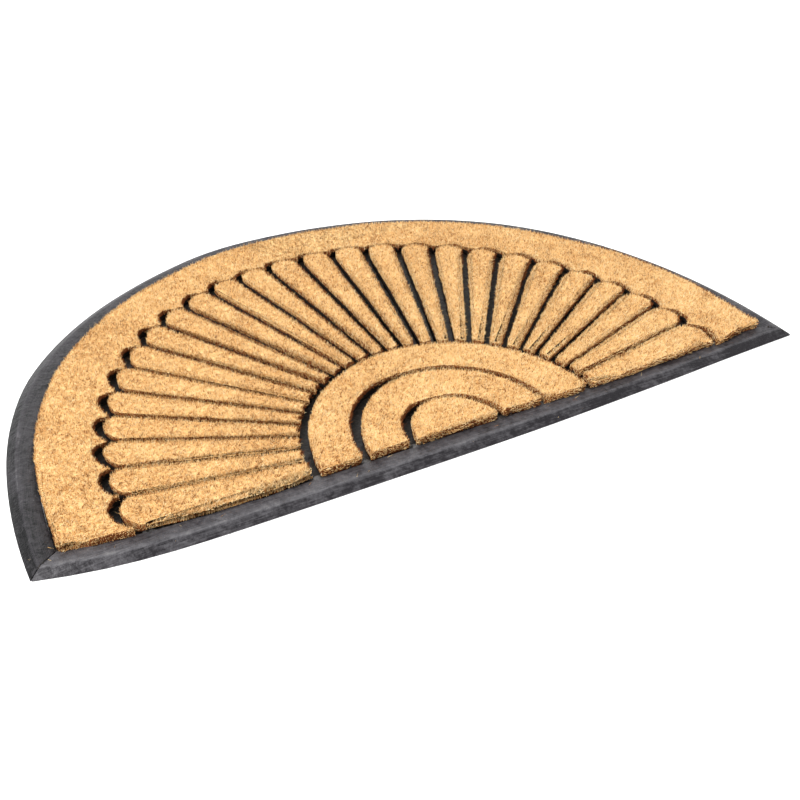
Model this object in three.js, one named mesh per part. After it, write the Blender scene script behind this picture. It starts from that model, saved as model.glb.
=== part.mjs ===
// Half-round doormat: panels of coir pile set in a black rubber tray with a bevelled border.
// Millimetres, +Z up. The front edge runs along X, the arc rises towards +Y,
// and the underside lies on Z = 0. The origin is the middle of the footprint.
import * as THREE from 'three';

// Outline on the floor, measured from the middle of the front edge
const HALF_WIDTH = 350.5;
const ARC_RISE = 397;
const ARC_FULLNESS = 2.2;
const LEFT_CORNER_Y = 7;
const RIGHT_CORNER_Y = 0;
const ARC_STATIONS = 84;
const FRONT_STATIONS = 28;

// How far the moulded arc strays outwards from its true curve, by the turn in degrees
// from the left corner
const ARC_STRAY = [
  { turn: 0, by: 0 },
  { turn: 12, by: -1.4 },
  { turn: 25, by: -0.4 },
  { turn: 35, by: 0.3 },
  { turn: 43, by: -1.6 },
  { turn: 52, by: -3.6 },
  { turn: 63, by: -4.4 },
  { turn: 72, by: -2.1 },
  { turn: 79, by: 1.6 },
  { turn: 85, by: 2.8 },
  { turn: 93, by: 1.2 },
  { turn: 102, by: -0.6 },
  { turn: 118, by: -0.6 },
  { turn: 131, by: 0.8 },
  { turn: 143, by: 0.6 },
  { turn: 160, by: 0.7 },
  { turn: 180, by: 0.8 },
];

// The front edge bows outwards and turns up towards the left corner
const FRONT_EDGE = [
  { x: -HALF_WIDTH, y: LEFT_CORNER_Y },
  { x: -318, y: -1.5 },
  { x: -277, y: -8 },
  { x: -220, y: -11.3 },
  { x: -100, y: -12 },
  { x: 60, y: -11.4 },
  { x: 190, y: -7 },
  { x: 270, y: -3 },
  { x: HALF_WIDTH, y: RIGHT_CORNER_Y },
];

// Section of the border from its toe on the floor to the edge that meets the pile
const BORDER_WIDTH = 23;
const BORDER_SECTION = [
  { inset: 0, z: 0 },
  { inset: 0, z: 1.2 },
  { inset: 8.5, z: 6 },
  { inset: BORDER_WIDTH, z: 4.6 },
  { inset: BORDER_WIDTH, z: 0 },
];
const BACKING_THICKNESS = 2.5;
const JOINT = 0.3;

// Coir pile: wall height and the rounding along its top edge
const PILE_BASE = BACKING_THICKNESS + JOINT;
const PILE_TOP = 12;
const PILE_LAYERS = [
  { inset: 0, z: PILE_BASE },
  { inset: 0, z: PILE_TOP - 1.8 },
  { inset: 0.5, z: PILE_TOP - 0.6 },
  { inset: 1.5, z: PILE_TOP },
];
const PILE_STEP = 1.8;
const GROOVE = 4.6;

// The fan of rays stands on a base line close to the front edge
const FAN_Y = 8.5;
const RAYS = 26;
const RAY_FOOT = { middle: 0, half: 131, rise: 131, fullness: 2 };
const RAY_SHOULDER = { middle: -3, half: 260.5, rise: 301, fullness: 2.1 };
const RAY_TIP = { middle: -3, half: 275.5, rise: 321, fullness: 2.1 };
const TIP_STEPS = 10;
const FOOT_STEPS = 2;

// How far the grooves between rays are turned from even spacing, in degrees
const FOOT_TURN = 1.7;
const SHOULDER_TURN = [
  { turn: 0, by: 1 },
  { turn: 28, by: -0.5 },
  { turn: 41, by: -0.35 },
  { turn: 69, by: 0.95 },
  { turn: 83, by: 1.1 },
  { turn: 97, by: 0.2 },
  { turn: 118, by: 0.7 },
  { turn: 145, by: 1.25 },
  { turn: 159, by: 0.45 },
  { turn: 180, by: -0.9 },
];

// Arches inside the fan: half-widths and rises of their outer and inner edges
const ARCHES = [
  { name: 'arch_outer', middle: 0, half: 126, rise: 126.5, innerMiddle: -2.8, innerHalf: 85.3, innerRise: 93 },
  { name: 'arch_middle', middle: -1.8, half: 81, rise: 86, innerMiddle: -2.8, innerHalf: 43.8, innerRise: 49 },
];
const HALF_DISC = { name: 'half_disc', middle: -2.4, half: 39.4, rise: 44.3 };
const ARCH_STEPS = 36;

const COIR = new THREE.MeshStandardMaterial({ color: 0xd9a764, roughness: 0.95, metalness: 0 });
const RUBBER = new THREE.MeshStandardMaterial({ color: 0x2c2a2b, roughness: 0.7, metalness: 0 });

const doormat = new THREE.Group();

function addPiece(name, geometry, material) {
  const mesh = new THREE.Mesh(geometry, material);
  mesh.name = name;
  doormat.add(mesh);
}

// Polylines: length-even stations, offsets to the right of travel, and crossings

function evenStations(points, count) {
  const reach = [0];
  for (let i = 1; i < points.length; i += 1) {
    reach.push(reach[i - 1] + points[i].distanceTo(points[i - 1]));
  }
  const stations = [];
  let segment = 1;
  for (let i = 0; i <= count; i += 1) {
    const wanted = (reach[reach.length - 1] * i) / count;
    while (segment < points.length - 1 && reach[segment] < wanted) segment += 1;
    const part = (wanted - reach[segment - 1]) / (reach[segment] - reach[segment - 1]);
    stations.push(points[segment - 1].clone().lerp(points[segment], part));
  }
  return stations;
}

function offsetRight(points, distance) {
  return points.map((point, i) => {
    const before = points[Math.max(i - 1, 0)];
    const after = points[Math.min(i + 1, points.length - 1)];
    const along = after.clone().sub(before).normalize();
    return new THREE.Vector2(point.x + along.y * distance, point.y - along.x * distance);
  });
}

function extendEnds(points, length) {
  const last = points.length - 1;
  const start = points[0].clone().sub(points[1]).setLength(length).add(points[0]);
  const end = points[last].clone().sub(points[last - 1]).setLength(length).add(points[last]);
  return [start, ...points, end];
}

function crossingOf(p, q, r, s) {
  const first = q.clone().sub(p);
  const second = s.clone().sub(r);
  const turn = first.cross(second);
  const gap = r.clone().sub(p);
  const along = gap.cross(second) / turn;
  const across = gap.cross(first) / turn;
  const crosses = along >= 0 && along <= 1 && across >= 0 && across <= 1;
  return crosses ? p.clone().addScaledVector(first, along) : null;
}

// Cuts two polylines back to the two points where they cross each other
function cutAtCrossings(arc, front) {
  const crossings = [];
  for (let i = 1; i < arc.length; i += 1) {
    for (let j = 1; j < front.length; j += 1) {
      const point = crossingOf(arc[i - 1], arc[i], front[j - 1], front[j]);
      if (point) crossings.push({ point, i, j });
    }
  }
  const start = crossings[0];
  const end = crossings[crossings.length - 1];
  return {
    arc: [start.point, ...arc.slice(start.i, end.i), end.point],
    front: [start.point, ...front.slice(start.j, end.j), end.point],
  };
}

// The mat's outline, and the same outline moved inwards

const FINE = 720;
const frontCurve = new THREE.SplineCurve(FRONT_EDGE.map((row) => new THREE.Vector2(row.x, row.y)));
const arcStray = splineOf(ARC_STRAY);
const shoulderTurn = splineOf(SHOULDER_TURN);

function splineOf(table) {
  return new THREE.SplineCurve(table.map((row) => new THREE.Vector2(row.turn, row.by))).getPoints(FINE);
}

// The height of a polyline at x, for one whose points run along X
function heightAt(points, x) {
  const passed = points.filter((point) => point.x < x).length;
  const next = THREE.MathUtils.clamp(passed, 1, points.length - 1);
  const before = points[next - 1];
  const after = points[next];
  return THREE.MathUtils.mapLinear(x, before.x, after.x, before.y, after.y);
}

function arcEdge() {
  const trueCurve = [];
  for (let i = 0; i <= FINE; i += 1) {
    const part = i / FINE;
    const angle = Math.PI * part;
    const side = Math.sign(Math.cos(angle));
    const across = side * Math.abs(Math.cos(angle)) ** (2 / ARC_FULLNESS);
    const rise = Math.sin(angle) ** (2 / ARC_FULLNESS);
    const base = THREE.MathUtils.lerp(LEFT_CORNER_Y, RIGHT_CORNER_Y, part);
    trueCurve.push(new THREE.Vector2(-HALF_WIDTH * across, base + ARC_RISE * rise));
  }
  return trueCurve.map((point, i) => {
    const before = trueCurve[Math.max(i - 1, 0)];
    const after = trueCurve[Math.min(i + 1, FINE)];
    const along = after.clone().sub(before).normalize();
    const out = heightAt(arcStray, (180 * i) / FINE);
    return new THREE.Vector2(point.x - along.y * out, point.y + along.x * out);
  });
}

const ARC_EDGE = evenStations(arcEdge(), 4 * ARC_STATIONS);
const FRONT_LINE = evenStations(frontCurve.getPoints(FINE), 4 * FRONT_STATIONS);

// Arc runs left to right over the top, and front runs left to right below it
function outlineInset(inset) {
  const spare = 2 * BORDER_WIDTH;
  const arc = extendEnds(offsetRight(ARC_EDGE, inset), spare);
  const front = extendEnds(offsetRight(FRONT_LINE, -inset), spare);
  const cut = cutAtCrossings(arc, front);
  return {
    arc: evenStations(cut.arc, ARC_STATIONS),
    front: evenStations(cut.front, FRONT_STATIONS),
  };
}

// Solids

function solidFromFaces(points, faces) {
  const geometry = new THREE.BufferGeometry();
  geometry.setAttribute('position', new THREE.Float32BufferAttribute(points.flat(), 3));
  geometry.setIndex(faces.flat());
  geometry.computeVertexNormals();
  return geometry;
}

// A closed outline stacked in layers, each moved inwards by its inset
function layeredSolid(outline, layers) {
  const ring = THREE.ShapeUtils.isClockWise(outline) ? [...outline].reverse() : outline;
  const count = ring.length;
  const points = [];
  layers.forEach((layer) => {
    ring.forEach((point, i) => {
      const before = ring[(i + count - 1) % count];
      const after = ring[(i + 1) % count];
      const arriving = point.clone().sub(before).normalize();
      const leaving = after.clone().sub(point).normalize();
      const inward = new THREE.Vector2(-arriving.y - leaving.y, arriving.x + leaving.x).normalize();
      const mitre = Math.max(0.5, Math.sqrt((1 + arriving.dot(leaving)) / 2));
      const reach = layer.inset / mitre;
      points.push([point.x + inward.x * reach, point.y + inward.y * reach, layer.z]);
    });
  });
  const faces = [];
  for (let level = 1; level < layers.length; level += 1) {
    const low = (level - 1) * count;
    const high = level * count;
    for (let i = 0; i < count; i += 1) {
      const next = (i + 1) % count;
      faces.push([low + i, low + next, high + next], [low + i, high + next, high + i]);
    }
  }
  const top = (layers.length - 1) * count;
  const upper = points.slice(top).map((point) => new THREE.Vector2(point[0], point[1]));
  THREE.ShapeUtils.triangulateShape(upper, []).forEach(([a, b, c]) => {
    faces.push([top + a, top + b, top + c]);
  });
  THREE.ShapeUtils.triangulateShape(ring, []).forEach(([a, b, c]) => {
    faces.push([c, b, a]);
  });
  return solidFromFaces(points, faces);
}

// A strip whose section is carried along one side of the outline
function borderStrip(side) {
  const rails = BORDER_SECTION.map((row) => {
    const rail = outlineInset(row.inset)[side];
    const last = rail.length - 1;
    rail[0].lerp(rail[1], JOINT / rail[0].distanceTo(rail[1]));
    rail[last].lerp(rail[last - 1], JOINT / rail[last].distanceTo(rail[last - 1]));
    return rail.map((point) => [point.x, point.y, row.z]);
  });
  const size = rails.length;
  const stations = rails[0].length;
  const points = [];
  for (let i = 0; i < stations; i += 1) {
    rails.forEach((rail) => points.push(rail[i]));
  }
  const faces = [];
  for (let i = 1; i < stations; i += 1) {
    for (let k = 0; k < size; k += 1) {
      const next = (k + 1) % size;
      const a = (i - 1) * size + k;
      const b = (i - 1) * size + next;
      const c = i * size + next;
      const d = i * size + k;
      faces.push([a, b, c], [a, c, d]);
    }
  }
  const last = (stations - 1) * size;
  for (let k = 2; k < size; k += 1) {
    faces.push([0, k, k - 1], [last, last + k - 1, last + k]);
  }
  const turned = side === 'arc' ? faces : faces.map(([a, b, c]) => [c, b, a]);
  return solidFromFaces(points, turned);
}

// The rubber tray

const tray = outlineInset(BORDER_WIDTH + JOINT);

function backingOutline() {
  return [...tray.arc, ...tray.front.slice(1, -1).reverse()];
}

// Where the pile meets the front border
function frontAt(x) {
  return heightAt(tray.front, x);
}

function crossFront(inside, outside) {
  const kept = inside.clone();
  const lost = outside.clone();
  for (let step = 0; step < 24; step += 1) {
    const middle = kept.clone().lerp(lost, 0.5);
    if (middle.y >= frontAt(middle.x)) kept.copy(middle);
    else lost.copy(middle);
  }
  return kept;
}

// Cuts an outline off along the front border, following the border between the two cuts
function behindFront(outline) {
  const isBehind = (point) => point.y >= frontAt(point.x);
  const kept = [];
  const corners = [];
  outline.forEach((point, i) => {
    const next = outline[(i + 1) % outline.length];
    if (isBehind(point)) kept.push(point);
    if (isBehind(point) === isBehind(next)) return;
    const corner = isBehind(point) ? crossFront(point, next) : crossFront(next, point);
    if (!isBehind(point) && corners.length > 0) kept.push(...frontBetween(corners.at(-1), corner));
    corners.push(corner);
    kept.push(corner);
  });
  return kept.filter((point, i) => {
    const before = kept[(i + kept.length - 1) % kept.length];
    const after = kept[(i + 1) % kept.length];
    const room = Math.min(point.distanceTo(before), point.distanceTo(after));
    return corners.includes(point) || room > PILE_STEP;
  });
}

// The border's stations between two corners of a panel, in the order of travel
function frontBetween(from, to) {
  const low = Math.min(from.x, to.x) + GROOVE;
  const high = Math.max(from.x, to.x) - GROOVE;
  const between = tray.front.filter((point) => point.x > low && point.x < high);
  return from.x > to.x ? between.reverse() : between;
}

// Coir panels

// A point on one of the fan's curves, by the turn in degrees from the left
function fanPoint(size, turn) {
  const angle = THREE.MathUtils.degToRad(turn);
  const power = 2 / size.fullness;
  const side = Math.sign(Math.cos(angle));
  const across = side * Math.abs(Math.cos(angle)) ** power;
  const rise = Math.sign(Math.sin(angle)) * Math.abs(Math.sin(angle)) ** power;
  return new THREE.Vector2(size.middle - size.half * across, FAN_Y + size.rise * rise);
}

function footTurn(part) {
  const turn = (180 * part) / RAYS;
  return turn + FOOT_TURN * Math.cos(THREE.MathUtils.degToRad(turn));
}

function outerTurn(part) {
  const turn = (180 * part) / RAYS;
  return turn + heightAt(shoulderTurn, turn);
}

// The middle line of each groove between two rays
function grooveLine(index) {
  const foot = fanPoint(RAY_FOOT, footTurn(index));
  const shoulder = fanPoint(RAY_SHOULDER, outerTurn(index));
  const along = shoulder.clone().sub(foot).normalize();
  return { foot, shoulder, right: new THREE.Vector2(along.y, -along.x) };
}

const GROOVE_LINES = Array.from({ length: RAYS + 1 }, (unused, index) => grooveLine(index));

// The rounded outer end of a ray, from its left shoulder to its right one
function rayEnd(index) {
  const left = GROOVE_LINES[index - 1];
  const right = GROOVE_LINES[index];
  const start = left.shoulder.clone().addScaledVector(left.right, GROOVE / 2);
  const end = right.shoulder.clone().addScaledVector(right.right, -GROOVE / 2);
  const middle = start.clone().lerp(end, 0.5);
  const crown = fanPoint(RAY_TIP, outerTurn(index - 0.5)).sub(middle);
  const points = [];
  for (let step = 0; step <= TIP_STEPS; step += 1) {
    const angle = (Math.PI * step) / TIP_STEPS;
    const point = start.clone().lerp(end, (1 - Math.cos(angle)) / 2);
    points.push(point.addScaledVector(crown, Math.sin(angle)));
  }
  return points;
}

function rayOutline(index) {
  const left = GROOVE_LINES[index - 1];
  const right = GROOVE_LINES[index];
  const foot = [];
  for (let step = 0; step <= FOOT_STEPS; step += 1) {
    foot.push(fanPoint(RAY_FOOT, footTurn(index - step / FOOT_STEPS)));
  }
  foot[0] = right.foot.clone().addScaledVector(right.right, -GROOVE / 2);
  foot[FOOT_STEPS] = left.foot.clone().addScaledVector(left.right, GROOVE / 2);
  return [...rayEnd(index), ...foot];
}

// Keeps the stretch of an open polyline that lies to one side of a groove's middle line
function keepBeside(points, line, side) {
  const reach = (point) => point.clone().sub(line.foot).dot(line.right) * side;
  const kept = [];
  points.forEach((point, i) => {
    const previous = points[i - 1];
    if (previous && reach(previous) >= 0 !== reach(point) >= 0) {
      const part = reach(previous) / (reach(previous) - reach(point));
      kept.push(previous.clone().lerp(point, part));
    }
    if (reach(point) >= 0) kept.push(point);
  });
  return kept;
}

// The outer band's inner edge runs a groove's width outside the ray ends and meets in cusps
function scallop(index) {
  const moved = offsetRight(rayEnd(index), -GROOVE);
  const trimmed = keepBeside(moved, GROOVE_LINES[index - 1], 1);
  return keepBeside(trimmed, GROOVE_LINES[index], -1);
}

function bandOutline() {
  const edge = [];
  for (let index = RAYS; index >= 1; index -= 1) {
    const points = scallop(index).reverse();
    edge.push(...(index === RAYS ? points : points.slice(1)));
  }
  const below = 2 * BORDER_WIDTH;
  const first = edge[0];
  const last = edge[edge.length - 1];
  return [
    ...tray.arc,
    new THREE.Vector2(tray.arc[ARC_STATIONS].x, -below),
    new THREE.Vector2(first.x, -below),
    ...edge,
    new THREE.Vector2(last.x, -below),
    new THREE.Vector2(tray.arc[0].x, -below),
  ];
}

// Half an ellipse standing on the fan's base line, from its left foot to its right foot
function halfRound(middle, half, rise) {
  const points = [];
  for (let step = 0; step <= ARCH_STEPS; step += 1) {
    const angle = (Math.PI * step) / ARCH_STEPS;
    points.push(new THREE.Vector2(middle - half * Math.cos(angle), FAN_Y + rise * Math.sin(angle)));
  }
  return points;
}

function archOutline(arch) {
  const outer = halfRound(arch.middle, arch.half, arch.rise);
  const inner = halfRound(arch.innerMiddle, arch.innerHalf, arch.innerRise);
  return [...outer, ...inner.reverse()];
}

// Assembly

addPiece('backing', layeredSolid(backingOutline(), [
  { inset: 0, z: 0 },
  { inset: 0, z: BACKING_THICKNESS },
]), RUBBER);
addPiece('border_arc', borderStrip('arc'), RUBBER);
addPiece('border_front', borderStrip('front'), RUBBER);
addPiece('coir_band', layeredSolid(behindFront(bandOutline()), PILE_LAYERS), COIR);
for (let index = 1; index <= RAYS; index += 1) {
  const name = `ray_${String(index).padStart(2, '0')}`;
  addPiece(name, layeredSolid(behindFront(rayOutline(index)), PILE_LAYERS), COIR);
}
ARCHES.forEach((arch) => {
  addPiece(arch.name, layeredSolid(behindFront(archOutline(arch)), PILE_LAYERS), COIR);
});
const disc = halfRound(HALF_DISC.middle, HALF_DISC.half, HALF_DISC.rise);
addPiece(HALF_DISC.name, layeredSolid(behindFront(disc), PILE_LAYERS), COIR);

// The footprint's middle goes to the origin
const footprint = new THREE.Box3().setFromObject(doormat).getCenter(new THREE.Vector3());
doormat.position.set(-footprint.x, -footprint.y, 0);

export default doormat;
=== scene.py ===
import math

import bpy
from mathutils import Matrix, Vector, noise
from mathutils.bvhtree import BVHTree


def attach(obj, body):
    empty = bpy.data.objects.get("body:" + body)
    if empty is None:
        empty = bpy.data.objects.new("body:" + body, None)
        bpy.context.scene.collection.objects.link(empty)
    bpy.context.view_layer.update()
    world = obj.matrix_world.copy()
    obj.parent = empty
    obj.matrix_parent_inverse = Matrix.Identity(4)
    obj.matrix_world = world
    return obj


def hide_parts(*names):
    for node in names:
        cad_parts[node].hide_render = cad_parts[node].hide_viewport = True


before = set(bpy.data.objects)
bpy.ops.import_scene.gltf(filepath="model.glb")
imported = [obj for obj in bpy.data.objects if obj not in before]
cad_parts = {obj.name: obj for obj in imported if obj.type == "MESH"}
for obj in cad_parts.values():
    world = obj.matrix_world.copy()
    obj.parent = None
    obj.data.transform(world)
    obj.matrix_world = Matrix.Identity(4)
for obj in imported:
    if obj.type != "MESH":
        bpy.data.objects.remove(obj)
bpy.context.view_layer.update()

bpy.ops.object.select_all(action="DESELECT")


# Camera
# It stands in front of the mat and to its left and looks down on it across the front edge.

bpy.ops.object.camera_add(
    location=(-0.42124, -0.81972, 0.56913),
    rotation=(math.radians(54.882), math.radians(-0.859), math.radians(-29.122)),
)
camera = bpy.context.object
camera.name = "camera"
camera.data.lens = 52.61
camera.data.sensor_width = 36
camera.data.clip_start = 0.01
camera.data.clip_end = 20
bpy.context.scene.camera = camera
bpy.context.scene.view_settings.view_transform = "Standard"


# Rubber backing
# A sheet of black rubber lies under the whole pile. Its top is the dull floor of the grooves.


def node_material(name, roughness):
    """A new node material: the material, its tree and its shader."""
    made = bpy.data.materials.new(name)
    made.use_nodes = True
    shader = made.node_tree.nodes["Principled BSDF"]
    shader.inputs["Roughness"].default_value = roughness
    return made, made.node_tree, shader


def add_node(tree, kind, settings=None, **values):
    """Adds a node; settings are its own options, and values go to the sockets of those names."""
    node = tree.nodes.new(kind)
    for key, value in (settings or {}).items():
        setattr(node, key, value)
    for key, value in values.items():
        node.inputs[key.replace("_", " ")].default_value = value
    return node


def feed(tree, socket, value):
    """Puts a number into a socket, or links another node's output to it."""
    if isinstance(value, (int, float, tuple)):
        socket.default_value = value
    else:
        tree.links.new(value, socket)


def add_maths(tree, operation, *values):
    node = add_node(tree, "ShaderNodeMath", {"operation": operation})
    for socket, value in zip(node.inputs, values):
        feed(tree, socket, value)
    return node.outputs["Value"]


def add_range(tree, value, from_low, from_high, to_low, to_high):
    """The value carried over from one range to another, and held at its ends."""
    spans = {"From_Min": from_low, "From_Max": from_high, "To_Min": to_low, "To_Max": to_high}
    node = add_node(tree, "ShaderNodeMapRange", **spans)
    feed(tree, node.inputs["Value"], value)
    return node.outputs["Result"]


def add_cloud(tree, place, scale, detail=4.0, roughness=0.6):
    node = add_node(tree, "ShaderNodeTexNoise", Scale=scale, Detail=detail, Roughness=roughness)
    tree.links.new(place, node.inputs["Vector"])
    return node.outputs["Fac"]


def add_ramp(tree, factor, stops):
    """A colour ramp over factor; stops are (place, colour)."""
    ramp = tree.nodes.new("ShaderNodeValToRGB")
    elements = ramp.color_ramp.elements
    while len(elements) < len(stops):
        elements.new(0.5)
    for element, (place, colour) in zip(elements, stops):
        element.position = place
        element.color = (*colour, 1)
    tree.links.new(factor, ramp.inputs["Fac"])
    return ramp.outputs["Color"]


def add_bumps(tree, shader, place, rows):
    """Bumps laid over one another; rows are (scale of the cloud, strength, height)."""
    under = None
    for scale, strength, height in rows:
        bump = add_node(tree, "ShaderNodeBump", Strength=strength, Distance=height)
        tree.links.new(add_cloud(tree, place, scale, 4.0, 0.65), bump.inputs["Height"])
        if under:
            tree.links.new(under, bump.inputs["Normal"])
        under = bump.outputs["Normal"]
    tree.links.new(under, shader.inputs["Normal"])


def rubber(name, dark, light, gloss, lengthwise=None, dust=(0.0, 0.0)):
    """Black moulded rubber, cloudy with grey blooming, with pale specks and a pitted skin. lengthwise is
    how its scratches run, along the front or round the arc, and with it the ridge gets a painted
    highlight and the outer bevel painted shade. dust is how much paler it is at the mat's left end and
    at its right."""
    made, tree, shader = node_material(name, 0.42)
    place = add_node(tree, "ShaderNodeTexCoord").outputs["Object"]
    apart = add_node(tree, "ShaderNodeSeparateXYZ")
    tree.links.new(place, apart.inputs["Vector"])
    x, y = apart.outputs["X"], apart.outputs["Y"]
    broad = add_maths(tree, "MULTIPLY", add_cloud(tree, place, 34.0, 5.0), 0.45)
    fine = add_maths(tree, "MULTIPLY", add_cloud(tree, place, 230.0, 6.0, 0.72), 0.55)
    bloom_and_painted_light = add_maths(tree, "ADD", broad, fine)
    bloom_and_painted_light = add_maths(tree, "ADD", bloom_and_painted_light, add_range(tree, x, -0.35, 0.35, *dust))
    if lengthwise:
        along, across = x, y
        if lengthwise == "arc":
            raised = add_maths(tree, "MULTIPLY", add_maths(tree, "ADD", y, 0.19), 0.885)
            along = add_maths(tree, "MULTIPLY", add_maths(tree, "ARCTAN2", raised, x), 0.35)
            squares = [add_maths(tree, "POWER", value, 2.0) for value in (raised, x)]
            across = add_maths(tree, "SQRT", add_maths(tree, "ADD", *squares))
        strip = add_node(tree, "ShaderNodeCombineXYZ")
        tree.links.new(add_maths(tree, "MULTIPLY", along, 0.04), strip.inputs["X"])
        tree.links.new(across, strip.inputs["Y"])
        scratches = add_cloud(tree, strip.outputs["Vector"], 900.0, 3.0, 0.8)
        bloom_and_painted_light = add_maths(tree, "ADD", bloom_and_painted_light, add_range(tree, scratches, 0.3, 0.7, -0.10, 0.10))
        facet = add_node(tree, "ShaderNodeAttribute", {"attribute_name": "facet"}).outputs["Fac"]
        off_ridge = add_maths(tree, "ABSOLUTE", facet)
        # painted highlight: paler along the ridge
        bloom_and_painted_light = add_maths(tree, "ADD", bloom_and_painted_light, add_range(tree, off_ridge, 0.0, 0.16, 0.07, 0.0))
        # painted shade: darker on the outer bevel, down to the toe
        bloom_and_painted_light = add_maths(tree, "ADD", bloom_and_painted_light, add_range(tree, facet, -0.2, 0.0, -0.09, 0.0))
    specks = add_cloud(tree, place, 620.0, 2.0)
    bloom_and_painted_light = add_maths(tree, "ADD", bloom_and_painted_light, add_range(tree, specks, 0.70, 0.78, 0.0, 0.35))
    middle = tuple((a + b) / 2 for a, b in zip(dark, light))
    stops = [(0.38, dark), (0.5, middle), (0.62, light), (0.9, (0.17, 0.165, 0.165))]
    tree.links.new(add_ramp(tree, bloom_and_painted_light, stops), shader.inputs["Base Color"])
    tree.links.new(add_range(tree, bloom_and_painted_light, 0.38, 0.62, 0.40, 0.62), shader.inputs["Roughness"])
    shine = add_range(tree, bloom_and_painted_light, 0.38, 0.62, 0.55 * gloss, 1.45 * gloss)
    tree.links.new(shine, shader.inputs["Specular IOR Level"])
    add_bumps(tree, shader, place, [(800.0, 0.7, 0.0004), (150.0, 0.9, 0.0016)])
    return made


FLOOR_RUBBER = rubber("groove floor rubber", (0.010, 0.0085, 0.007), (0.038, 0.032, 0.027), 0.3)

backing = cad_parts["backing"]
backing.data.materials.clear()
backing.data.materials.append(FLOOR_RUBBER)


# Rubber border
# Two bevelled strips frame the tray, the long one round the arc and the other along the front.
# They are moulded rubber, with a painted highlight along the ridge and painted shade on the outer
# bevel, and they meet in a mitre at each front corner.

RIDGE_FROM = 0.0054
TOE_BELOW = 0.0040


def make_active(piece):
    bpy.ops.object.select_all(action="DESELECT")
    piece.select_set(True)
    bpy.context.view_layer.objects.active = piece


def own_copy(node, name):
    """A copy of a solid's mesh as a new object, with its loose triangles merged."""
    piece = bpy.data.objects.new(name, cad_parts[node].data.copy())
    bpy.context.collection.objects.link(piece)
    make_active(piece)
    bpy.ops.object.mode_set(mode="EDIT")
    bpy.ops.mesh.select_all(action="SELECT")
    bpy.ops.mesh.remove_doubles(threshold=0.00001)
    bpy.ops.object.mode_set(mode="OBJECT")
    piece.data.materials.clear()
    return piece


def finish_modifiers(piece):
    """Applies all of a piece's modifiers, in their order."""
    make_active(piece)
    for modifier in list(piece.modifiers):
        bpy.ops.object.modifier_apply(modifier=modifier.name)


def border_strip(node, dark, light, gloss, lengthwise, dust):
    """The strip with its long edges eased, marked -1 at its toe, 0 on the ridge and 1 inside."""
    strip = own_copy(node, node + "_strip")
    eased = strip.modifiers.new("eased edges", "BEVEL")
    eased.width = 0.0007
    eased.segments = 2
    eased.limit_method = "ANGLE"
    eased.angle_limit = math.radians(16)
    eased.use_clamp_overlap = True
    finish_modifiers(strip)
    make_active(strip)
    bpy.ops.object.shade_smooth_by_angle(angle=math.radians(30))
    facet = strip.data.attributes.new("facet", "FLOAT", "POINT")
    for vertex in strip.data.vertices:
        height = vertex.co.z
        facet.data[vertex.index].value = 0 if height > RIDGE_FROM else -1 if height < TOE_BELOW else 1
    strip.data.materials.append(rubber(node + " rubber", dark, light, gloss, lengthwise, dust))
    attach(strip, "root")
    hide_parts(node)
    return strip


front_strip = border_strip(
    "border_front", (0.014, 0.0125, 0.015), (0.070, 0.066, 0.073), 0.42, "front", (0.06, -0.02)
)
arc_strip = border_strip(
    "border_arc", (0.003, 0.003, 0.0035), (0.034, 0.031, 0.036), 0.26, "arc", (0.0, 0.12)
)


# Coir panels
# Each panel is coconut fibre that stands in the rubber like a short stiff pile, black at its foot.
# The fibres lean in small tufts and splay out at the panels' front edges, over the border. The band
# round the rays is planted in two halves, and its left half holds the body of both.

SIDE_SLOPE = 0.95  # a face less level than this belongs to a panel's side
LONGEST_STEP = 0.0032  # between two points of a panel's outline
DRAWN_IN = 0.0004  # how far a panel's sides stand back from the solid's
DRAWN_IN_LEFT = 0.0012  # and how much further where they face left, right, and front and right
DRAWN_IN_RIGHT = 0.0008
DRAWN_IN_SHADE = 0.0034
LET_OUT_FRONT = 0.0020  # how far they hang out where they face the front, less towards the right
LET_OUT_FADE = 1.5
WANDER = [(70, 0.0009), (240, 0.0006)]  # turns per metre of the sides' unevenness, and its size
WANDER_SEED = 4
RAY_NARROWED = 0.0003
FACES_FRONT = 0.8
NEAR_FRONT_BORDER = 0.0050
NEAR_ARC_BORDER = 0.0015
BORDER_FACES_AT = 0.004  # the height at which the distance to a border is measured
FOOT_FROM = 0.005  # a point of the solid under this height is at the pile's foot
FOOT_FOLLOWS = 0.85  # how much of an overhang the foot shares, and how far the border lifts it
LIFTED_ON_BORDER = 0.0024
LIFTED_OVER = 0.002
SUNK_TO = [  # height in the solid, height under the fibres
    (0.0028, 0.0028),
    (0.0102, 0.0098),
    (0.0114, 0.0108),
    (0.0120, 0.0110),
]
FIBRES_FROM = 0.0070  # the lowest fibre
BLACK_TO = (0.0070, 0.0082)  # where the rubber's black ends and the clean fibre starts, raggedly
BLACK_RAGGED = 0.0013
PAINTED_SHADE_TO = (0.0070, 0.0108)  # painted shade: fibres darken towards the root, most at the first height, none above the second
ALONG_FRONT = (-0.168, -0.158)  # y where a panel's front end begins, and where it has ended
FIBRES_LOWER_IN_FRONT = 0.0030
BLACK_LOWER_IN_FRONT = 0.0040
SHADE_TO_FRONT = 0.3  # painted shade: fibres on the walls that face right and a little forward are darkened
SHADE_FROM = 0.25
SHADE_DEPTH = 1.6
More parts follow.
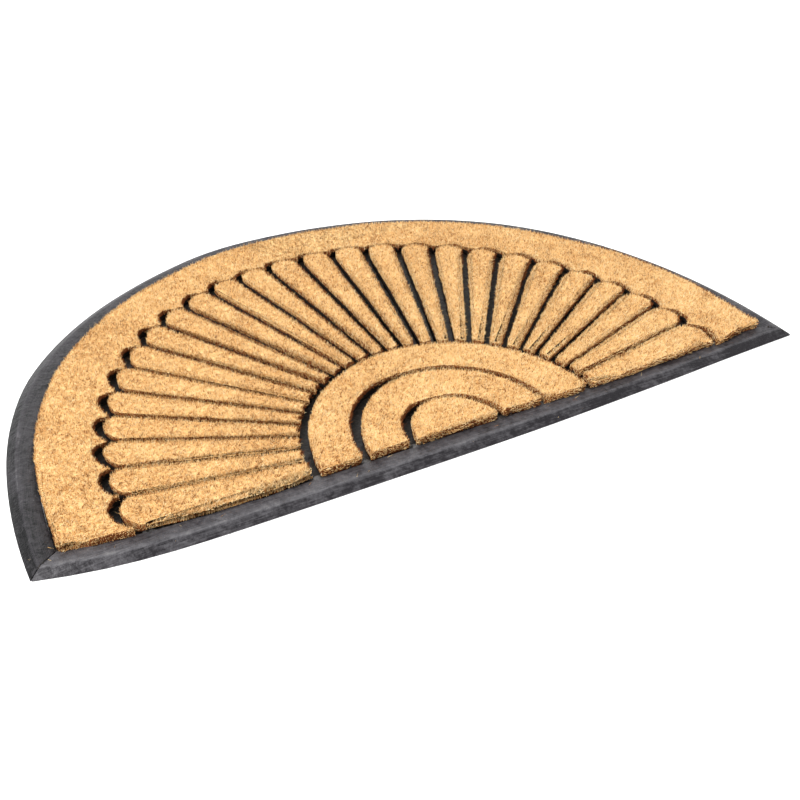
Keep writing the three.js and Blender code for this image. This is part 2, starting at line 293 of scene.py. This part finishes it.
FIBRE_ROWS = [
    # where, slope from and to, how far back they face, fibres per m2, outward lean, front lean,
    # scatter, tuft lean, length, radius
    ("top", 0.95, 1.10, 1.1, 940000.0, 0.0, 0.0, 0.85, 1.4, 0.0030, 0.00031),
    ("rim", 0.20, 0.95, 1.1, 1150000.0, 0.12, 0.6, 0.30, 0.7, 0.0030, 0.00033),
    ("wall", -0.95, 0.20, 1.1, 620000.0, 0.08, 1.0, 0.28, 0.7, 0.0032, 0.00039),
    ("front fringe", -0.95, 0.95, -0.35, 290000.0, 0.1, 0.9, 0.34, 0.9, 0.0042, 0.00031),
    ("stray", 0.20, 0.95, 1.1, 9000.0, 0.80, 0.3, 0.80, 0.0, 0.0065, 0.00013),
]
OVER_FRONT_BORDER = [  # x in mm, how far the pile hangs out in mm
    (-360, 3.0), (-326, 3.0), (-302, 1.3), (-277, 0.8), (-252, 3.0), (-227, 6.8), (-201, 6.5),
    (-176, 7.0), (-150, 5.8), (-126, 0.0), (-101, -0.4), (-76, -1.6), (-51, -1.2), (0, -1.2),
    (25, 1.2), (50, -2.2), (75, 1.6), (100, 2.2), (125, 3.2), (150, 3.8), (176, 5.0), (201, 3.2),
    (226, 5.6), (251, 2.8), (276, 3.6), (301, 1.8), (326, 4.6), (360, 4.0),
]
OVER_ARC_BORDER = [  # degrees round from the left corner, how far the pile hangs out in mm
    (-20, -1.0), (10, -1.0), (17, 0.4), (24, 0.6), (31, -1.2), (37, -2.9), (50, -3.6), (62, -1.2),
    (74, -4.0), (86, -4.8), (93, -1.7), (99, -3.6), (105, -0.8), (111, -2.0), (117, -2.2),
    (123, -5.0), (129, -5.0), (136, -3.6), (142, -2.2), (148, 1.6), (162, 2.8), (168, 0.4),
    (176, -1.4), (200, -1.4),
]
FAN_MIDDLE = (-0.0034, -0.1868)
FAN_REACH = (0.2755, 0.3210)
ARC_MIDDLE_Y = -0.184
HEAD_LEAN = [  # degrees round the fan from the left, how far the rays' heads lean to the right in mm
    (-180, 0.0), (84, 0.0), (98, 3.4), (118, 6.4), (131, 8.6), (150, 9.0), (165, 7.0), (180, 4.5),
]
HEAD_SQUARED = [  # degrees round the fan from the left, how far the heads' corners go outward in mm
    (-180, 0.0), (14, 0.0), (55, 8.5), (152, 8.5), (172, 1.0), (180, 0.0),
]
LEAN_MOST_AT = 1.01  # the shares of the fan's reach where the heads lean and where they have corners
LEAN_OVER = 0.09
CORNERS_FROM = 0.87
CORNERS_OVER = 0.14


def coir_material():
    """Straw to dark brown by the fibre's tone, which holds painted shade on walls that face right;
    darker towards the root with painted shade, and black with rubber at its foot."""
    made, tree, shader = node_material("coir", 0.8)
    place = add_node(tree, "ShaderNodeTexCoord").outputs["Object"]
    tone = add_node(tree, "ShaderNodeAttribute", {"attribute_name": "fibre_tone"}).outputs["Fac"]
    apart = add_node(tree, "ShaderNodeSeparateXYZ")
    tree.links.new(place, apart.inputs["Vector"])
    raised = add_range(tree, apart.outputs["Y"], *ALONG_FRONT, BLACK_LOWER_IN_FRONT, 0.0)
    height = add_maths(tree, "ADD", apart.outputs["Z"], raised)
    for scale, reach in ((26.0, 0.10), (230.0, 0.10), (900.0, 0.18)):
        cloud = add_cloud(tree, place, scale)
        tone = add_maths(tree, "ADD", tone, add_range(tree, cloud, 0.3, 0.7, -reach, reach))
    # painted shade, darker down towards the foot of the pile
    tone = add_maths(tree, "ADD", tone, add_range(tree, height, *PAINTED_SHADE_TO, -0.26, 0.0))
    stops = [
        (0.00, (0.17, 0.052, 0.014)),
        (0.15, (0.36, 0.145, 0.040)),
        (0.24, (0.66, 0.37, 0.130)),
        (0.45, (0.78, 0.53, 0.240)),
        (0.78, (0.83, 0.61, 0.315)),
        (1.00, (0.88, 0.73, 0.450)),
    ]
    straw = add_ramp(tree, tone, stops)
    ragged = add_range(tree, add_cloud(tree, place, 330.0), 0.3, 0.7, -BLACK_RAGGED, BLACK_RAGGED)
    clean = add_range(tree, add_maths(tree, "ADD", height, ragged), *BLACK_TO, 0.0, 1.0)
    coloured = add_node(tree, "ShaderNodeMix", {"data_type": "RGBA"})
    tree.links.new(clean, coloured.inputs[0])
    coloured.inputs[6].default_value = (0.014, 0.011, 0.009, 1)
    tree.links.new(straw, coloured.inputs[7])
    tree.links.new(coloured.outputs[2], shader.inputs["Base Color"])
    shader.inputs["Specular IOR Level"].default_value = 0.2
    return made


COIR = coir_material()


class Planting:
    """A tree of geometry nodes that plants small spikes on the faces of what it is given."""

    def __init__(self, name, inputs=()):
        self.tree = bpy.data.node_groups.new(name, "GeometryNodeTree")
        face = self.tree.interface
        face.new_socket("Geometry", in_out="INPUT", socket_type="NodeSocketGeometry")
        for key in inputs:
            face.new_socket(key, in_out="INPUT", socket_type="NodeSocketFloat")
        face.new_socket("Geometry", in_out="OUTPUT", socket_type="NodeSocketGeometry")
        self.start = add_node(self.tree, "NodeGroupInput")
        self.planted = []
        self.position = add_node(self.tree, "GeometryNodeInputPosition").outputs[0]
        self.place = self.split(self.position)
        self.normal = self.split(add_node(self.tree, "GeometryNodeInputNormal").outputs[0])

    def link(self, value, socket):
        feed(self.tree, socket, value)

    def maths(self, operation, *values):
        return add_maths(self.tree, operation, *values)

    def both(self, *tests):
        together = tests[0]
        for test in tests[1:]:
            together = self.maths("MULTIPLY", together, test)
        return together

    def split(self, vector):
        node = add_node(self.tree, "ShaderNodeSeparateXYZ")
        self.link(vector, node.inputs[0])
        return node.outputs

    def vectors(self, operation, first, second):
        node = add_node(self.tree, "ShaderNodeVectorMath", {"operation": operation})
        self.link(first, node.inputs[0])
        self.link(second, node.inputs["Scale" if operation == "SCALE" else 1])
        return node.outputs["Vector"]

    def random_vector(self, reach, seed):
        node = add_node(self.tree, "FunctionNodeRandomValue", {"data_type": "FLOAT_VECTOR"}, Seed=seed)
        node.inputs[0].default_value = (-reach, -reach, -reach)
        node.inputs[1].default_value = (reach, reach, reach)
        return node.outputs[0]

    def random_number(self, low, high, seed):
        node = add_node(self.tree, "FunctionNodeRandomValue", {"data_type": "FLOAT"}, Seed=seed)
        node.inputs[2].default_value = low
        node.inputs[3].default_value = high
        return node.outputs[1]

    def cloud_vector(self, scale, reach, offset):
        node = add_node(self.tree, "ShaderNodeTexNoise", Scale=scale, Detail=2.0)
        self.link(self.vectors("ADD", self.position, offset), node.inputs["Vector"])
        centred = self.vectors("SUBTRACT", node.outputs["Color"], (0.5, 0.5, 0.5))
        return self.vectors("MULTIPLY", centred, reach)

    def plant(self, faces, density, lean, length, radius, sizes, sides=3, root=0.0, shift=None):
        """Plants spikes on faces; lean gets the points' normals and returns which way they stand."""
        seed = 10 * len(self.planted)
        spread = add_node(self.tree, "GeometryNodeDistributePointsOnFaces", Seed=seed)
        spread.distribute_method = "RANDOM"
        self.link(density, spread.inputs["Density"])
        self.link(self.start.outputs["Geometry"], spread.inputs["Mesh"])
        self.link(faces, spread.inputs["Selection"])
        cleared = add_node(self.tree, "GeometryNodeDeleteGeometry", {"domain": "POINT"})
        self.link(spread.outputs["Points"], cleared.inputs["Geometry"])
        self.link(self.maths("LESS_THAN", self.place["Z"], root), cleared.inputs["Selection"])
        points = cleared.outputs["Geometry"]
        if shift:
            shifted = add_node(self.tree, "GeometryNodeSetPosition")
            self.link(points, shifted.inputs["Geometry"])
            self.link(shift, shifted.inputs["Offset"])
            points = shifted.outputs["Geometry"]
        turn = add_node(self.tree, "FunctionNodeAlignRotationToVector", {"axis": "Z"})
        self.link(lean(spread.outputs["Normal"], seed), turn.inputs["Vector"])
        spike = add_node(self.tree, "GeometryNodeMeshCone", {"fill_type": "NGON"}, Vertices=sides)
        spike.inputs["Radius Top"].default_value = 0.0
        spike.inputs["Radius Bottom"].default_value = radius
        spike.inputs["Depth"].default_value = length
        planter = add_node(self.tree, "GeometryNodeInstanceOnPoints")
        self.link(points, planter.inputs["Points"])
        self.link(spike.outputs["Mesh"], planter.inputs["Instance"])
        self.link(turn.outputs["Rotation"], planter.inputs["Rotation"])
        self.link(self.random_number(*sizes, seed + 3), planter.inputs["Scale"])
        tone = self.random_number(0.04, 1.0, seed + 5)
        # painted shade: fibres on walls that face right and a little forward are darkened
        tone = self.maths("SUBTRACT", tone, self.painted_shade(spread.outputs["Normal"]))
        toned = self.named("INSTANCE", planter.outputs["Instances"], tone)
        real = add_node(self.tree, "GeometryNodeRealizeInstances")
        self.link(toned, real.inputs["Geometry"])
        self.planted.append(real.outputs["Geometry"])

    def painted_shade(self, normal):
        """How much painted shade darkens a fibre, by the way its wall faces."""
        facing = self.split(normal)
        shaded = self.maths("SUBTRACT", facing["X"], self.maths("MULTIPLY", facing["Y"], SHADE_TO_FRONT))
        shaded = self.maths("MAXIMUM", self.maths("SUBTRACT", shaded, SHADE_FROM), 0.0)
        return self.maths("MULTIPLY", shaded, SHADE_DEPTH)

    def named(self, domain, geometry, value):
        """The geometry with the value kept on it as its fibre tone."""
        node = add_node(
            self.tree, "GeometryNodeStoreNamedAttribute", {"data_type": "FLOAT", "domain": domain}
        )
        node.inputs["Name"].default_value = "fibre_tone"
        self.link(geometry, node.inputs["Geometry"])
        self.link(value, node.inputs["Value"])
        return node.outputs["Geometry"]

    def finish(self, material):
        joined = add_node(self.tree, "GeometryNodeJoinGeometry")
        for part in self.planted:
            self.link(part, joined.inputs["Geometry"])
        dressed = add_node(self.tree, "GeometryNodeSetMaterial", Material=material)
        self.link(joined.outputs["Geometry"], dressed.inputs["Geometry"])
        self.link(dressed.outputs["Geometry"], add_node(self.tree, "NodeGroupOutput").inputs[0])
        return self.tree


def pile_tree():
    """Plants the fibres between From X and To X, and keeps the panel itself where Body is 1."""
    pile = Planting("coir pile", ("From X", "To X", "Body"))
    start, x, slope = pile.start.outputs, pile.place["X"], pile.normal["Z"]
    in_reach = pile.both(
        pile.maths("GREATER_THAN", x, start["From X"]), pile.maths("LESS_THAN", x, start["To X"])
    )
    in_front = FIBRES_FROM - FIBRES_LOWER_IN_FRONT
    root = add_range(pile.tree, pile.place["Y"], *ALONG_FRONT, in_front, FIBRES_FROM)
    tufts = pile.cloud_vector(130.0, (0.0012, 0.0012, 0.0014), (0.7, 0.2, 0.5))
    for _, low, high, back, density, outward, forward, scatter, tuft, length, radius in FIBRE_ROWS:
        faces = pile.both(
            in_reach,
            pile.maths("GREATER_THAN", slope, low),
            pile.maths("LESS_THAN", slope, high),
            pile.maths("LESS_THAN", pile.normal["Y"], back),
        )

        def lean(normal, seed):
            front = pile.maths("MAXIMUM", pile.maths("MULTIPLY", pile.split(normal)["Y"], -forward), 0.0)
            way = pile.vectors("SCALE", normal, pile.maths("ADD", front, outward))
            way = pile.vectors("ADD", way, (0.0, 0.0, 1.0 - 0.6 * outward))
            way = pile.vectors("ADD", way, pile.random_vector(scatter, seed + 1))
            way = pile.vectors("ADD", way, pile.cloud_vector(260.0, (tuft, tuft, 0.0), (0.3, 0.1, 0.2)))
            return pile.vectors("MAXIMUM", way, (-9.0, -9.0, 0.15))

        pile.plant(faces, density, lean, length, radius, (0.65, 1.15), root=root, shift=tufts)
    on_top = pile.maths("MULTIPLY", pile.maths("GREATER_THAN", slope, 0.9), 0.4)
    body = add_node(pile.tree, "GeometryNodeSwitch", {"input_type": "GEOMETRY"})
    pile.link(pile.maths("GREATER_THAN", start["Body"], 0.5), body.inputs["Switch"])
    pile.link(pile.named("CORNER", start["Geometry"], on_top), body.inputs["True"])
    pile.planted.append(body.outputs["Output"])
    return pile.finish(COIR)


PILE = pile_tree()


noise.seed_set(WANDER_SEED)


def row_between(rows, at):
    """The value at a place in a table, straight between its rows."""
    for (low, first), (high, last) in zip(rows, rows[1:]):
        if low <= at <= high:
            return first + (last - first) * (at - low) / (high - low)
    raise ValueError(at)


def surface_of(nodes):
    """The surfaces of some solids, to measure distances to."""
    points, faces = [], []
    for node in nodes:
        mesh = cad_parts[node].data
        faces += [[len(points) + index for index in face.vertices] for face in mesh.polygons]
        points += [vertex.co for vertex in mesh.vertices]
    return BVHTree.FromPolygons(points, faces)


FRONT_BORDER = surface_of(["border_front"])
ARC_BORDER = surface_of(["border_arc"])


def hung_out(place, away, narrowed):
    """How far a point of a panel's outline moves outward, and how far up."""
    left, right, front = max(0, -away.x), max(0, away.x), max(0, -away.y)
    by = -DRAWN_IN - DRAWN_IN_LEFT * left - DRAWN_IN_RIGHT * right - narrowed * abs(away.x)
    by += LET_OUT_FRONT * front ** 2 * min(1, max(0, 1 - LET_OUT_FADE * away.x))
    by -= DRAWN_IN_SHADE * front * right
    beside = (place.x, place.y, BORDER_FACES_AT)
    over_border = False
    if FRONT_BORDER.find_nearest(beside)[3] < NEAR_FRONT_BORDER and front > FACES_FRONT:
        by = row_between(OVER_FRONT_BORDER, place.x * 1000) / 1000
        over_border = by > 0
    elif ARC_BORDER.find_nearest(beside)[3] < NEAR_ARC_BORDER:
        turn = math.degrees(math.atan2(place.y - ARC_MIDDLE_Y, -place.x))
        by = row_between(OVER_ARC_BORDER, turn) / 1000
        over_border = by > 0
    if place.z > FOOT_FROM:
        return by, 0
    if over_border:
        return FOOT_FOLLOWS * by, LIFTED_ON_BORDER * min(1, by / LIFTED_OVER)
    return min(by, 0), 0


def carried(place):
    """How far a point near the rays' heads is carried round to the right, and outward."""
    from_middle = Vector((place.x - FAN_MIDDLE[0], place.y - FAN_MIDDLE[1], 0))
    reach = math.hypot(from_middle.x / FAN_REACH[0], from_middle.y / FAN_REACH[1])
    turn = math.degrees(math.atan2(from_middle.y, -from_middle.x))
    lean = max(0, 1 - abs(reach - LEAN_MOST_AT) / LEAN_OVER)
    across_corners = min(max((reach - CORNERS_FROM) / CORNERS_OVER, 0), 1)
    outward = from_middle.normalized()
    to_right = Vector((outward.y, -outward.x, 0)) * lean * row_between(HEAD_LEAN, turn)
    squared = outward * math.sin(math.pi * across_corners) * row_between(HEAD_SQUARED, turn)
    return (to_right + squared) / 1000


def cut_short(mesh):
    """Halves the edges that run round a panel until none is longer than LONGEST_STEP."""
    found = True
    while found:
        bpy.ops.object.mode_set(mode="EDIT")
        bpy.ops.mesh.select_mode(type="EDGE")
        bpy.ops.mesh.select_all(action="DESELECT")
        bpy.ops.object.mode_set(mode="OBJECT")
        sides = [face for face in mesh.polygons if abs(face.normal.z) < SIDE_SLOPE]
        outline = {key for face in sides for key in face.edge_keys}
        found = False
        for edge in mesh.edges:
            first, last = (mesh.vertices[index].co for index in edge.vertices)
            level = abs(first.z - last.z) < 0.00001
            if level and edge.key in outline and (first - last).length > LONGEST_STEP:
                edge.select = found = True
        if found:
            bpy.ops.object.mode_set(mode="EDIT")
            bpy.ops.mesh.subdivide(number_cuts=1)
            bpy.ops.object.mode_set(mode="OBJECT")


def plant_pile(node, name, from_x=-1.0, to_x=1.0, body=True, narrowed=0.0):
    """A panel of pile: the panel's form, sunk and wandering at its outline, and the fibres on it."""
    panel = own_copy(node, name)
    mesh = panel.data
    cut_short(mesh)
    outward = [Vector() for _ in mesh.vertices]
    for face in mesh.polygons:
        if abs(face.normal.z) < SIDE_SLOPE:
            for index in face.vertices:
                outward[index] += Vector((face.normal.x, face.normal.y, 0))
    for vertex, away in zip(mesh.vertices, outward):
        place = vertex.co.copy()
        away.normalize()
        wander = sum((noise.noise_vector(place * turns) * size for turns, size in WANDER), Vector())
        by, up = hung_out(place, away, narrowed)
        moved = away * by + wander + carried(place)
        vertex.co.x += moved.x
        vertex.co.y += moved.y
        vertex.co.z = min(SUNK_TO, key=lambda row: abs(row[0] - place.z))[1] + up
    planting = panel.modifiers.new("fibres", "NODES")
    planting.node_group = PILE
    given = {"From X": from_x, "To X": to_x, "Body": 1.0 if body else 0.0}
    for socket in PILE.interface.items_tree:
        if socket.name in given:
            planting[socket.identifier] = given[socket.name]
    finish_modifiers(panel)
    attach(panel, "root")
    if body:
        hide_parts(node)
    return panel


panels = [
    plant_pile("coir_band", "coir_band_left", to_x=0.0),
    plant_pile("coir_band", "coir_band_right", from_x=0.0, body=False),
]
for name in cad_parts:
    if name.startswith("ray_"):
        panels.append(plant_pile(name, name + "_pile", narrowed=RAY_NARROWED))
    elif name.startswith(("arch_", "half_disc")):
        panels.append(plant_pile(name, name + "_pile"))


# Rubber flash
# Where the tray was pressed round the fibres, ragged black crumbs of rubber stand along the front
# joint, and a smooth grey tongue runs up on to the border at the end of each groove; the tongues'
# pale grey is partly painted sheen.

GROOVE_ENDS = [-0.262, -0.129, -0.087, -0.044, 0.039, 0.082, 0.122, 0.265]
BEHIND_THE_BORDER = -0.165
INNER_EDGE_HEIGHT = 0.0046
TONGUE_HALF = (0.0042, 0.0042, 0.0006)
TONGUE_SUNK = 0.0004


def front_joint(x):
    """Where the front border's inner edge runs at x."""
    place, *_ = FRONT_BORDER.find_nearest((x, BEHIND_THE_BORDER, INNER_EDGE_HEIGHT))
    return place


crumbs = own_copy("border_front", "front_joint_flash")
flash = Planting("rubber crumbs")
inner_wall = flash.both(
    flash.maths("GREATER_THAN", flash.normal["Y"], 0.5), flash.maths("LESS_THAN", flash.normal["Z"], 0.3)
)


def any_way_up(normal, seed):
    return flash.vectors("ADD", flash.random_vector(0.7, seed + 1), (0.0, 0.35, 0.9))


flash.plant(inner_wall, 150000.0, any_way_up, 0.0030, 0.0011, (0.35, 1.1), sides=5, root=0.0030)
joint = crumbs.modifiers.new("crumbs", "NODES")
joint.node_group = flash.finish(FLOOR_RUBBER)
finish_modifiers(crumbs)
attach(crumbs, "root")

# painted sheen: the tongues' rubber is paler grey than the rest, for the shine on these smears
SMEAR_RUBBER_AND_SHEEN = rubber("smeared rubber", (0.02, 0.02, 0.021), (0.13, 0.128, 0.13), 0.4)
tongues = []
for x in GROOVE_ENDS:
    at = front_joint(x)
    at.z -= TONGUE_SUNK
    bpy.ops.mesh.primitive_uv_sphere_add(segments=16, ring_count=8, location=at)
    tongue = bpy.context.object
    tongue.scale = TONGUE_HALF
    tongues.append(tongue)
bpy.ops.object.select_all(action="DESELECT")
for tongue in tongues:
    tongue.select_set(True)
bpy.context.view_layer.objects.active = tongues[0]
bpy.ops.object.join()
bpy.ops.object.transform_apply(location=True, rotation=True, scale=True)
smears = bpy.context.object
smears.name = "groove_end_tongues"
bpy.ops.object.shade_smooth()
smears.data.materials.append(SMEAR_RUBBER_AND_SHEEN)
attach(smears, "root")


# Loose fibres
# A few short broken fibres of the same coir lie loose and flat on both strips of the border. They
# are held by nothing, and are one piece here.

fibre_crumbs = own_copy("border_arc", "loose_fibres")
own_copy("border_front", "loose_fibres_front")
fibre_crumbs.select_set(True)
bpy.context.view_layer.objects.active = fibre_crumbs
bpy.ops.object.join()
loose = Planting("loose fibres")


def lying(normal, seed):
    flat = loose.vectors("MULTIPLY", loose.random_vector(1.0, seed + 1), (1.0, 1.0, 0.0))
    return loose.vectors("ADD", flat, (0.0, 0.0, 0.12))


upper = loose.maths("GREATER_THAN", loose.normal["Z"], 0.5)
loose.plant(upper, 1300.0, lying, 0.0050, 0.00016, (0.3, 1.2))
scattered = fibre_crumbs.modifiers.new("loose fibres", "NODES")
scattered.node_group = loose.finish(COIR)
finish_modifiers(fibre_crumbs)
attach(fibre_crumbs, "root")


# Floor and light
# A plain white floor that glows a little, even light all round, a lamp high on the left and a
# weaker one behind.

bpy.ops.mesh.primitive_plane_add(size=12, location=(0, 0, -0.0002))
floor = bpy.context.object
floor.name = "floor"
paper, _, paper_shader = node_material("white floor", 0.9)
paper_shader.inputs["Base Color"].default_value = (0.93, 0.93, 0.93, 1)
paper_shader.inputs["Specular IOR Level"].default_value = 0.1
paper_shader.inputs["Emission Color"].default_value = (1, 1, 1, 1)
paper_shader.inputs["Emission Strength"].default_value = 0.35
floor.data.materials.append(paper)


def soft_light(name, place, size, power):
    """A square lamp that faces the middle of the mat."""
    bpy.ops.object.light_add(type="AREA", location=place)
    light = bpy.context.object
    light.name = name
    light.data.shape = "SQUARE"
    light.data.size = size
    light.data.energy = power
    light.rotation_mode = "QUATERNION"
    light.rotation_quaternion = Vector(place).to_track_quat("Z", "Y")


soft_light("light from the left", (-2.9, -0.6, 2.4), 1.2, 178)
soft_light("light behind", (0.6, 2.6, 1.3), 1.6, 28)

world = bpy.data.worlds.new("studio")
world.use_nodes = True
world.node_tree.nodes["Background"].inputs["Color"].default_value = (1, 1, 1, 1)
world.node_tree.nodes["Background"].inputs["Strength"].default_value = 0.85
bpy.context.scene.world = world
